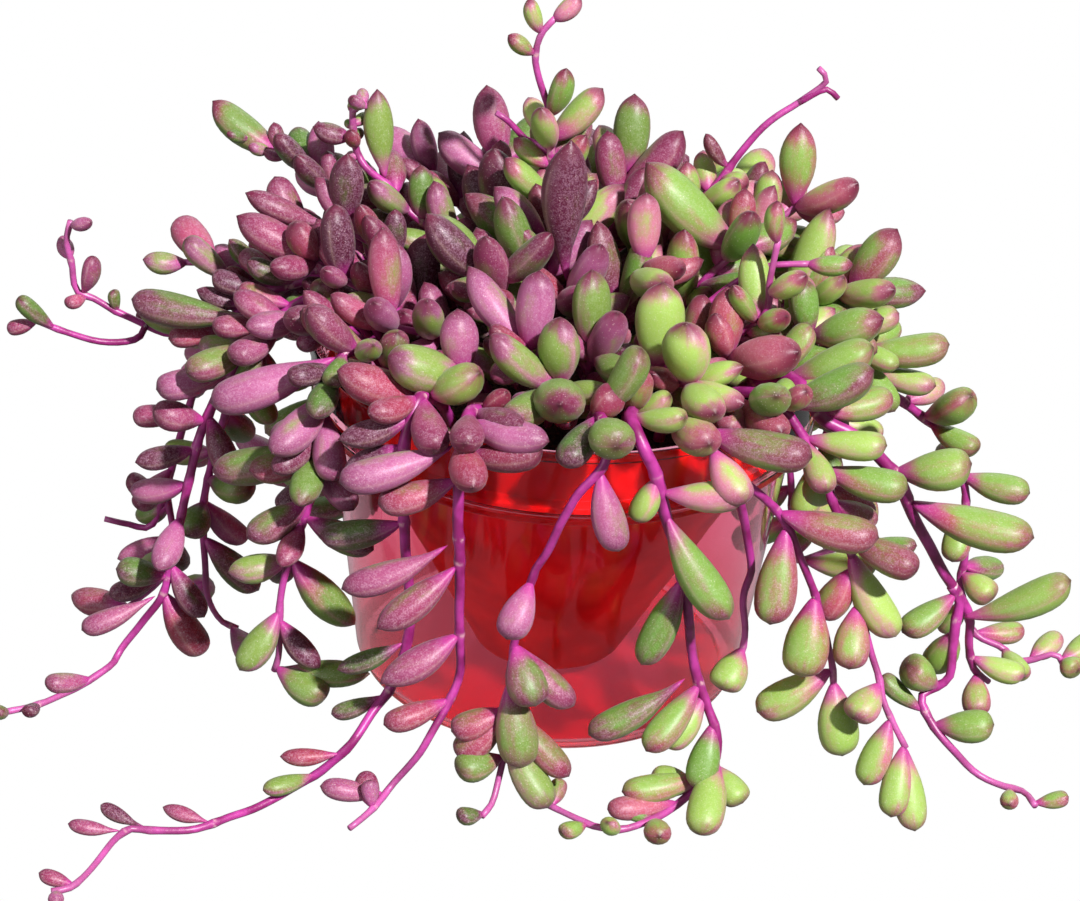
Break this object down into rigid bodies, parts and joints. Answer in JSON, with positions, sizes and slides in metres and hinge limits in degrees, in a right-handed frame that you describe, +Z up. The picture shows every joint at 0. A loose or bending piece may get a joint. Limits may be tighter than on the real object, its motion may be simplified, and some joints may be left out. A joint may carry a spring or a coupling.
{
  "type": "potted trailing succulent",
  "caption": "Ruby necklace succulent with plump purple and green leaves on trailing stems, in a see-through red pot with a tapered insert.",
  "frame": {"origin": "middle of the pot's base, on the floor it stands on", "axes": "+Z up, -Y towards the front of the picture, +X to its right"},
  "size_m": [0.2549, 0.2343, 0.154],
  "materials": {
    "pot_red": "gloss, see-through",
    "insert_red": "gloss, cloudy see-through",
    "soil": "rough crumbs",
    "leaves_ruby": "satin skin with a fine bloom",
    "leaves_green": "satin skin with a fine bloom",
    "stems": "satin"
  },
  "bodies": {
    "root": {"pot_insert": "insert_red", "pot_outer": "pot_red", "potting_mix": "soil", "shoot_back_left": "leaves_ruby", "shoot_crown_1": "leaves_ruby", "shoot_crown_10": "leaves_green", "shoot_crown_11": "leaves_green", "shoot_crown_12": "leaves_green", "shoot_crown_13": "leaves_green", "shoot_crown_14": "leaves_ruby", "shoot_crown_15": "leaves_ruby", "shoot_crown_16": "leaves_ruby", "shoot_crown_17": "leaves_ruby", "shoot_crown_18": "leaves_ruby", "shoot_crown_19": "leaves_ruby", "shoot_crown_2": "leaves_green", "shoot_crown_20": "leaves_ruby", "shoot_crown_21": "leaves_ruby", "shoot_crown_22": "leaves_green", "shoot_crown_23": "leaves_ruby", "shoot_crown_24": "leaves_ruby", "shoot_crown_3": "leaves_green", "shoot_crown_4": "leaves_ruby", "shoot_crown_5": "leaves_ruby", "shoot_crown_6": "leaves_ruby", "shoot_crown_7": "leaves_ruby", "shoot_crown_8": "leaves_green", "shoot_crown_9": "leaves_green", "shoot_left_reach": "leaves_ruby", "shoot_left_rise": "leaves_ruby", "shoot_right_rise": "leaves_green", "shoot_top_centre": "leaves_green", "shoot_top_left": "leaves_ruby", "shoot_top_right": "leaves_green", "strand_back_1": "leaves_green", "strand_back_2": "leaves_green", "strand_back_3": "leaves_green", "strand_back_4": "leaves_ruby", "strand_back_5": "leaves_ruby", "strand_back_6": "leaves_ruby", "strand_back_7": "leaves_ruby", "strand_front_1": "leaves_ruby", "strand_front_2": "leaves_ruby", "strand_front_3": "leaves_ruby", "strand_front_4": "leaves_ruby", "strand_front_5": "leaves_green", "strand_front_6": "leaves_green", "strand_front_7": "leaves_green", "strand_left_high": "leaves_ruby", "strand_left_low": "leaves_ruby", "strand_left_mid": "leaves_ruby", "strand_right_arch": "leaves_green", "strand_right_low": "leaves_green"}
  },
  "joints": []
}
